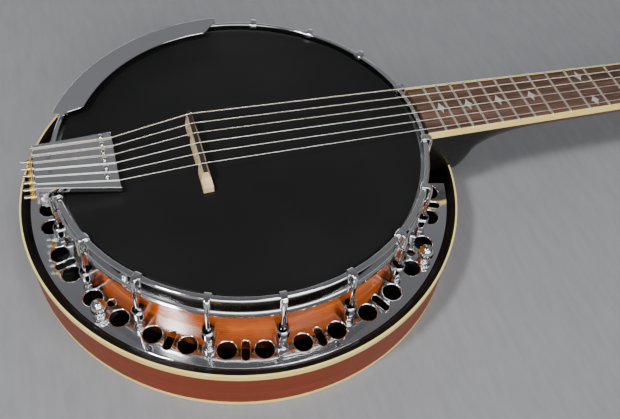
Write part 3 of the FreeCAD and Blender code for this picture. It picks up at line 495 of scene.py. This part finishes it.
def flange():
    """A pressed plate whose outline and holes all have rolled edges."""
    edge, z1 = 0.9, FLANGE_TOP
    z0 = z1 - FLANGE_T

    def circle(r, deg, radius, n=48):
        cx, cy = r * math.cos(math.radians(deg)), r * math.sin(math.radians(deg))
        turn = [2 * math.pi * k / n for k in range(n)]
        return lambda off: [(cx + (radius + off) * math.cos(t), cy + (radius + off) * math.sin(t)) for t in turn]

    def slot(deg):
        c, s = math.cos(math.radians(deg)), math.sin(math.radians(deg))

        def points(off):
            out = []
            for r, start in ((163.5 - 2.75, -90), (148.0 + 2.75, 90)):
                for k in range(15):
                    g = math.radians(start + 180 * k / 14)
                    u, v = r + (2.75 + off) * math.cos(g), (2.75 + off) * math.sin(g)
                    out.append((u * c - v * s, u * s + v * c))
            return out
        return points

    def outline(off):
        ro, ri = FLANGE_R - off, RIM_R + 0.02
        lag = math.radians(FLANGE_GAP)
        turn = [(lag, 2 * math.pi - lag, k / 300) for k in range(301)]
        outer, inner = [], []
        for a, b, t in turn:
            lo, li = off / ro, off / ri
            for side, r, cut in ((outer, ro, lo), (inner, ri, li)):
                g = a + cut + (b - a - 2 * cut) * t
                side.append((r * math.cos(g), r * math.sin(g)))
        return outer + inner[::-1]

    loops = [outline]
    for a in HOOKS:
        loops += [circle(156.0, a + d, 7.0) for d in (-5.15, 5.15) if abs(a + d) > FLANGE_GAP]
    loops += [slot(a) for a in SLOTS]
    for a in THUMBS:
        loops += [circle(150.0, a, 3.0, 32), circle(THUMB_R, a, 2.55, 32)]
    flat, faces = [], []
    for f in loops:
        pts = f(edge)
        faces.append(list(range(len(flat), len(flat) + len(pts))))
        flat += [Vector(p) for p in pts]
    verts, _, tris, _, _, origin = delaunay_2d_cdt(flat, [], faces, 1, 1e-5)
    bm = bmesh.new()
    for z in (z0, z1):
        made = [bm.verts.new((v.x, v.y, z)) for v in verts]
        for t, o in zip(tris, origin):
            if list(o) == [0]:
                bm.faces.new([made[i] for i in t])
    for f in loops:
        rings = []
        for k in range(6):
            g = math.radians(90 * k / 5)
            rings.append((edge * (1 - math.sin(g)), z0 + edge * (1 - math.cos(g))))
        rings += [(off, z1 + z0 - z) for off, z in rings[::-1]]
        loft(bm, [[(x, y, z) for x, y in f(off)] for off, z in rings], cap=False)
    bmesh.ops.remove_doubles(bm, verts=bm.verts[:], dist=0.004)
    add_lathe(bm, rounded([(140.02, z0 - 4), (142.2, z0 - 4), (142.2, z0 + 0.3), (140.02, z0 + 0.3)], 0.5, 2),
              segs=200, sweep=360 - 2 * FLANGE_GAP, start=FLANGE_GAP)
    finish_mesh("flange_fine", bm, M["chrome"], slot="chrome", nodes=("flange",), sharp=38)


def hooks():
    bm = bmesh.new()
    path = [(141.9, 91.6), (141.95, 93.0), (142.3, 94.1), (143.2, 94.45), (145.0, 94.45), (147.2, 94.45),
            (148.8, 94.2), (149.75, 93.3), (150.15, 91.8), (SHANK_R0, 89.5), (SHANK_R0, 84.0), (SHANK_R0, 70.0),
            (SHANK_R0, 58.0), (SHANK_R0, 44.0)]
    shape = [(2.7, 0.8, 6), (2.75, 0.85, 6), (2.75, 0.85, 6), (2.75, 0.85, 6), (2.7, 0.85, 6),
             (2.5, 0.9, 5), (2.3, 1.0, 4), (2.1, 1.15, 3), (1.9, 1.3, 2.4), (1.7, 1.5, 2.1),
             (1.6, 1.6, 2), (1.6, 1.6, 2), (1.6, 1.6, 2), (1.6, 1.6, 2)]
    rings = []
    for i, ((r, z), (w, t, power)) in enumerate(zip(path, shape)):
        p0, p1 = path[max(i - 1, 0)], path[min(i + 1, len(path) - 1)]
        tangent = Vector((p1[0] - p0[0], 0, p1[1] - p0[1])).normalized()
        normal = tangent.cross(Vector((0, 1, 0)))
        ring = []
        for k in range(24):
            g = 2 * math.pi * k / 24
            c, s = math.cos(g), math.sin(g)
            e = 2.0 / power
            u, v = w * math.copysign(abs(c) ** e, c), t * math.copysign(abs(s) ** e, s)
            ring.append(Vector((r, 0, z)) + Vector((0, 1, 0)) * u + normal * v)
        rings.append(ring)
    loft(bm, rings)
    turn_all(bm, HOOKS[0])
    spin_copies(bm, HOOKS)
    finish_mesh("hooks_fine", bm, M["chrome"], slot="chrome", nodes=("hooks",), sharp=60)

    bm = bmesh.new()
    half, end, low, high = 5.0, SHANK_R0 + 4.6, SHOE_Z - 4.8, SHOE_Z + 4.8

    def lug(grow, z):
        pts = [(RIM_R - 0.35, half + grow * 0.6), (SHANK_R0 - 3.0, half + grow)]
        pts += arc(end - half, 0.0, half + grow, 84, -84, 18)
        pts += [(SHANK_R0 - 3.0, -half - grow), (RIM_R - 0.35, -half - grow * 0.6)]
        return [(x, y, z) for x, y in pts]

    def eye(grow, z, count):
        """An oval hole about the hook's shank, drawn out towards the rim."""
        out = []
        for k in range(count):
            g = math.radians(90 - 360 * k / count)
            out.append((SHANK_R0 - 1.2 + (3.9 + grow) * math.cos(g), (2.45 + grow) * math.sin(g), z))
        return out

    skin = [lug(-1.4, low), lug(-0.6, low + 0.3), lug(-0.15, low + 0.9), lug(0, low + 1.8), lug(0, high - 1.6),
            lug(-0.15, high - 0.9), lug(-0.5, high - 0.35), lug(-1.0, high)]
    count = len(skin[0])
    skin += [eye(0.55, high, count), eye(0.2, high - 0.15, count), eye(0, high - 0.6, count),
             eye(-0.1, high - 5.0, count), eye(-0.3, low + 2.0, count)]
    loft(bm, skin)
    turn_all(bm, HOOKS[0])
    spin_copies(bm, HOOKS)
    finish_mesh("bracket_shoes_fine", bm, M["chrome"], slot="chrome", nodes=("bracket_shoes",), sharp=50)

    bm = bmesh.new()
    add_round(bm, [(2.7, 0.0), (3.2, 0.5), (3.2, 4.7), (2.6, 5.2)], (SHANK_R0, 0, FLANGE_TOP + 0.7), 6)
    turn_all(bm, HOOKS[0])
    spin_copies(bm, HOOKS)
    finish_mesh("hook_nuts_fine", bm, M["chrome_soft"], slot="chrome", nodes=("hook_nuts",), sharp=20,
                bevel=0.25)


def thumbscrews():
    for i, deg in enumerate(THUMBS):
        bm = bmesh.new()
        z = FLANGE_TOP + 0.05
        add_round(bm, [(2.5, 25 - z), (2.5, 0.0), (4.4, 0.0), (4.6, 0.6), (4.5, 1.9), (3.1, 2.5), (2.9, 3.9),
                       (3.3, 4.3)], (THUMB_R, 0, z), 36)

        def knurl(a, k):
            return 0.035 * math.cos(20 * a) if 1 <= k <= 4 else 0.0

        add_round(bm, [(4.2, 4.2), (5.4, 4.7), (5.75, 5.5), (5.75, 9.0), (5.45, 10.4), (4.9, 11.9), (3.9, 13.3),
                       (2.6, 14.3), (1.2, 14.8), (0.1, 14.9)], (THUMB_R, 0, z), 120, wave=knurl)
        turn_all(bm, deg)
        finish_mesh("thumb_knob_%d" % (i + 1), bm, M["chrome_soft"], slot="chrome", body="thumb_%d" % (i + 1),
                    nodes=("thumbscrew_%d" % (i + 1),), sharp=50)


def resonator():
    pts = [(170.7, 39.9), (176.6, 39.9), (176.6, 46.2), (173.6, 46.2), (170.7, 43.3)]
    gap = dict(sweep=360 - 2 * HEEL_DEG, start=HEEL_DEG)
    bm = bmesh.new()
    add_lathe(bm, rounded(pts, 0.5, 3), segs=288, **gap)
    finish_mesh("resonator_lip_fine", bm, M["black"], slot="lip_black", nodes=("resonator_lip",), sharp=50)
    pts = [(176.6, 39.9), (177.95, 39.9), (178.1, 46.2), (176.6, 46.2)]
    bm = bmesh.new()
    add_lathe(bm, rounded(pts, 0.35, 3), segs=288, **gap)
    finish_mesh("binding_top_fine", bm, M["cream"], slot="binding_cream", nodes=("binding_top",), sharp=50)
    pts = [(175.4, 0.0), (176.9, 0.0), (177.05, 4.5), (175.4, 4.5)]
    lathe("binding_bottom_fine", rounded(pts, 0.35, 3), M["cream"], slot="binding_cream",
          nodes=("binding_bottom",), sharp=50)
    bm = bmesh.new()
    add_round(bm, [(175.1, 0.0), (175.4, 0.3), (175.4, 5.0)], (0, 0, 0), 240)
    finish_mesh("resonator_back_fine", bm, M["back"], slot="mahogany", nodes=("resonator_back",), sharp=30)


def rim():
    top = 80.8
    pts = [(120.7, 16.0), (140.0, 16.0), (140.0, 69.8), (138.6, 69.8), (138.6, top), (120.7, top)]
    lathe("rim_fine", rounded(pts, 0.4, 2), M["rim"], slot="rim_maple", nodes=("rim",), sharp=40)


def armrest():
    """A flat plate over the hoop, its ends swept in a curve and its outer edge rolled down."""
    top, thick = 98.0, 1.3
    a0, a1, steps = 86.3, 157.0, 140
    bm = bmesh.new()
    rings = []
    for k in range(steps + 1):
        a = a0 + (a1 - a0) * k / steps
        end = min(a - a0, a1 - a) * math.radians(1) * 138.0
        cut = 0.0
        if end < 13.0:
            t = end / 13.0
            cut = 11.5 * (1 - t) ** 1.35 * (1 + 1.2 * t * (1 - t))
        ri = HOOP_RI - 13.4 + cut
        ro = 148.4 + 3.0 * ((a - 108.0) / 49.0) ** 2
        pts = arc(ri + 0.55, top - 0.55, 0.55, 180, 90, 4) + arc(ro - 1.2, top - 1.2, 1.2, 90, 0, 6)
        pts += [(ro, top - 2.4), (ro - thick, top - 2.4), (ro - thick, top - 2.0), (ro - 2.0, top - thick),
                (ri + 0.55, top - thick), (ri, top - thick + 0.4)]
        c, n = math.cos(math.radians(a)), math.sin(math.radians(a))
        rings.append([(r * c, r * n, z) for r, z in pts])
    loft(bm, rings)
    finish_mesh("armrest_fine", bm, M["chrome"], slot="chrome", nodes=("armrest",), sharp=60)


def tail_plate():
    """A bent plate: top, folded back, front lip and side folds, with six studs and six pins."""
    bm = bmesh.new()

    def half(x):
        return 21.5 + 7.5 * max(x, 0.0) / TAIL_L

    pts = [(-2.0, -18.0), (-2.0, 0.0), (TAIL_L, 0.0), (TAIL_L, -4.5), (TAIL_L - 1.4, -4.5), (TAIL_L - 1.4, -1.6),
           (-0.4, -1.6), (-0.4, -18.0)]
    prof = rounded(pts, 1.1, 4)
    loft(bm, [[(x, s * (half(x) - 0.4), z) for x, z in prof] for s in (-1.0, -0.5, 0.0, 0.5, 1.0)])
    for s in (-1, 1):
        side = bmesh.new()
        edge = rounded([(-1.3, -4.8), (-1.3, 0.0), (0.0, 0.0), (0.0, -4.8)], 0.6, 4)
        loft(side, [[(x, s * (half(x) + u), v) for u, v in edge] for x in (-2.0, 10.0, 30.0, 50.0, TAIL_L)])
        merge(bm, side)
    for i in range(6):
        y = 8.8 * (2.5 - i) * (TAIL_L - 5) / TAIL_L + 3.0
        stud = bmesh.new()
        add_round(stud, [(1.6, -0.2), (1.6, 0.7), (2.1, 1.0), (2.3, 1.5), (2.1, 2.0), (1.5, 2.4), (0.7, 2.55),
                         (0.1, 2.6)], (TAIL_L - 8.5, y, 0), 32)
        merge(bm, stud)
        pin = bmesh.new()
        add_round(pin, [(1.1, 0.0), (1.1, 8.0), (1.0, 8.6), (0.6, 8.95), (0.1, 9.0)], (0, 0, 0), 24)
        spot = Matrix.Translation((-2, 7.0 * (2.5 - i), -13.5))
        place(pin, spot @ Matrix.Rotation(math.radians(-90), 4, "Y"))
        merge(bm, pin)
    place(bm, tail_matrix())
    finish_mesh("tail_plate_fine", bm, M["chrome"], slot="chrome", nodes=("tail_plate",), sharp=40)


def bridge():
    """Three feet with arches between; the near foot stands lower and beyond the cap."""
    h0, step, h1 = HEAD_Z, HEAD_Z + 5.8, 103.6
    far, near, shelf = 30.5, -42.5, -34.0
    outline = [(far, h0), (far, h1 - 0.4), (far - 0.6, h1), (shelf, h1), (shelf, step), (near, step), (near, h0)]
    for c in (near + 24.5, far - 17.5):
        outline += [(c - 4.3, h0)] + [(c + 4.3 * math.cos(math.radians(180 - 15 * k)),
                                       h0 + 5.2 + 4.3 * math.sin(math.radians(180 - 15 * k))) for k in range(13)]
        outline += [(c + 4.3, h0)]

    def half(z):
        return 4.0 - 0.1 * (z - h0) / 5.8 if z <= step + 0.01 else 3.9 - 2.2 * (z - step) / (h1 - step)

    bm = bmesh.new()
    front = [bm.verts.new((BRIDGE_X - half(z), y, z)) for y, z in outline]
    back = [bm.verts.new((BRIDGE_X + half(z), y, z)) for y, z in outline]
    tris = tessellate_polygon([[Vector((y, z, 0)) for y, z in outline]])
    for t in tris:
        bm.faces.new([front[i] for i in t])
        bm.faces.new([back[i] for i in reversed(t)])
    for i in range(len(front)):
        j = (i + 1) % len(front)
        bm.faces.new((front[i], back[i], back[j], front[j]))
    bmesh.ops.dissolve_limit(bm, angle_limit=math.radians(1.0), verts=bm.verts[:], edges=bm.edges[:])
    finish_mesh("bridge_body_fine", bm, M["maple"], slot="bridge_maple", nodes=("bridge_body",), sharp=35,
                bevel=0.3)


def fret_wire():
    bm = bmesh.new()
    m = neck_matrix()
    for n in range(1, FRETS + 1):
        x = fret_x(n)
        half = (54.3 + (42.9 - 54.3) * x / NUT_X) / 2 - 0.05
        one = bmesh.new()
        rings = []
        for s, h in ((-1, 0.35), (-0.985, 0.8), (-0.96, 1.05), (0.96, 1.05), (0.985, 0.8), (1, 0.35)):
            ring = []
            for k in range(13):
                g = math.pi * k / 12
                ring.append((x + 1.15 * math.cos(g), s * half, h * math.sin(g)))
            rings.append(ring)
        loft(one, rings)
        place(one, m)
        merge(bm, one)
    finish_mesh("fret_wires", bm, M["fret"], slot="fret_metal", nodes=("frets",), sharp=45)


def inlays():
    """Thin four-pointed pearl stars, the longer pair of points across the neck."""
    bm = bmesh.new()
    for n in INLAY_FRETS:
        lo, hi = fret_x(n), fret_x(n - 1)
        along = min(INLAY_ALONG, (hi - lo) / 2 - FRET_W)
        for y in ((-INLAY_PAIR_Y, INLAY_PAIR_Y) if n == 12 else (0.0,)):
            rings = []
            for z, grow in ((-0.5, 1.0), (-0.02, 1.0), (0.012, 0.985)):
                ring = []
                for k in range(96):
                    c, d = math.cos(math.pi * k / 48), math.sin(math.pi * k / 48)
                    ring.append(((lo + hi) / 2 + grow * along * (0.85 * c ** 3 + 0.15 * c),
                                 y + grow * INLAY_ACROSS * (0.85 * d ** 3 + 0.15 * d), z))
                rings.append(ring)
            loft(bm, rings)
    place(bm, neck_matrix())
    finish_mesh("inlays_fine", bm, M["pearl"], slot="pearl", nodes=("inlays",), sharp=40)


PAINT = {
    "resonator_wall": "mahogany", "resonator_lugs": "mahogany", "tone_ring": "bell", "flesh_hoop": "alu",
    "tail_bracket": "chrome_soft", "tail_screws": "chrome_soft", "armrest_clamps": "chrome_soft",
    "armrest_screws": "chrome_soft", "shoe_bolts": "steel", "coordinator_rods": "steel", "rod_nuts": "steel",
    "neck": "neck", "fretboard": "rosewood", "board_binding": "cream", "nut": "bone",
    "headstock_overlay": "overlay", "truss_cover": "overlay", "headstock_screws": "chrome_soft",
    "tuner_housings": "chrome", "tuner_bushings": "chrome", "bridge_cap": "ebony",
    "strings_wound": "wound", "strings_plain": "wire", "ball_ends": "brass",
}


# ---- floor and light -------------------------------------------------------------------------
def floor():
    m, n, l, p = new_mat("floor_paper")
    vec = coords(n, l)
    tone = noise(n, l, vec, 3.0, 3.0)
    streak = noise(n, l, coords(n, l, (26.0, 5.0, 1.0)), 5.0, 5.0, 0.65)
    both = n.new("ShaderNodeMath")
    both.operation = "MULTIPLY_ADD"
    both.inputs[1].default_value = 0.55
    l.new(streak, both.inputs[0])
    l.new(span(n, l, tone, 0.0, 0.45), both.inputs[2])
    paper = ramp(n, l, both.outputs[0], [(0.32, (0.205, 0.208, 0.222)), (0.68, (0.262, 0.264, 0.276))])
    l.new(paper, p.inputs["Base Color"])
    p.inputs["Roughness"].default_value = 0.8
    bump(n, l, p, noise(n, l, vec, 700.0, 3.0), 0.15, 0.0004)
    bm = bmesh.new()
    bmesh.ops.create_grid(bm, x_segments=1, y_segments=1, size=4.0)
    mesh = bpy.data.meshes.new("floor")
    bm.to_mesh(mesh)
    bm.free()
    mesh.materials.append(m)
    obj = bpy.data.objects.new("floor", mesh)
    bpy.context.scene.collection.objects.link(obj)
    obj.location = (0.1, 0, -0.0005)


def area(name, at, target, size, power, colour=(1, 1, 1)):
    data = bpy.data.lights.new(name, "AREA")
    data.shape = "RECTANGLE"
    data.size, data.size_y = size
    data.energy = power
    data.color = colour
    obj = bpy.data.objects.new(name, data)
    bpy.context.scene.collection.objects.link(obj)
    obj.location = at
    obj.rotation_euler = (Vector(target) - Vector(at)).to_track_quat("-Z", "Y").to_euler()


def lights():
    world = bpy.data.worlds.new("studio")
    bpy.context.scene.world = world
    world.use_nodes = True
    n, l = world.node_tree.nodes, world.node_tree.links
    bg = n["Background"]
    tc = n.new("ShaderNodeTexCoord")
    sep = n.new("ShaderNodeSeparateXYZ")
    l.new(tc.outputs["Generated"], sep.inputs["Vector"])
    l.new(ramp(n, l, span(n, l, sep.outputs["Z"], 0, 1, -0.2, 1.0),
               [(0.15, (0.05, 0.05, 0.05)), (0.45, (0.17, 0.175, 0.18)), (0.75, (0.285, 0.295, 0.31)),
                (0.95, (0.12, 0.12, 0.125))]), bg.inputs["Color"])
    bg.inputs["Strength"].default_value = 0.8
    area("key", (-0.85, -0.50, 1.45), (0, -0.05, 0.05), (0.20, 0.20), 22.0)
    area("front", (0.1, -1.7, 1.0), (0.05, -0.1, 0.06), (2.4, 1.1), 36.0)
    area("top", (0.35, -0.55, 1.85), (0.1, 0, 0.05), (0.5, 0.5), 9.0)
    area("back", (0.1, 1.7, 0.45), (0.05, 0, 0.05), (2.4, 0.3), 5.0)


camera()
hoop()
head()
flange()
hooks()
thumbscrews()
resonator()
rim()
armrest()
tail_plate()
bridge()
fret_wire()
inlays()
for node, key in PAINT.items():
    paint(node, M[key])
for i in range(1, 7):
    paint("tuner_post_%d" % i, M["chrome"])
    paint("tuner_key_%d" % i, M["chrome"])
floor()
lights()

bpy.context.view_layer.update()
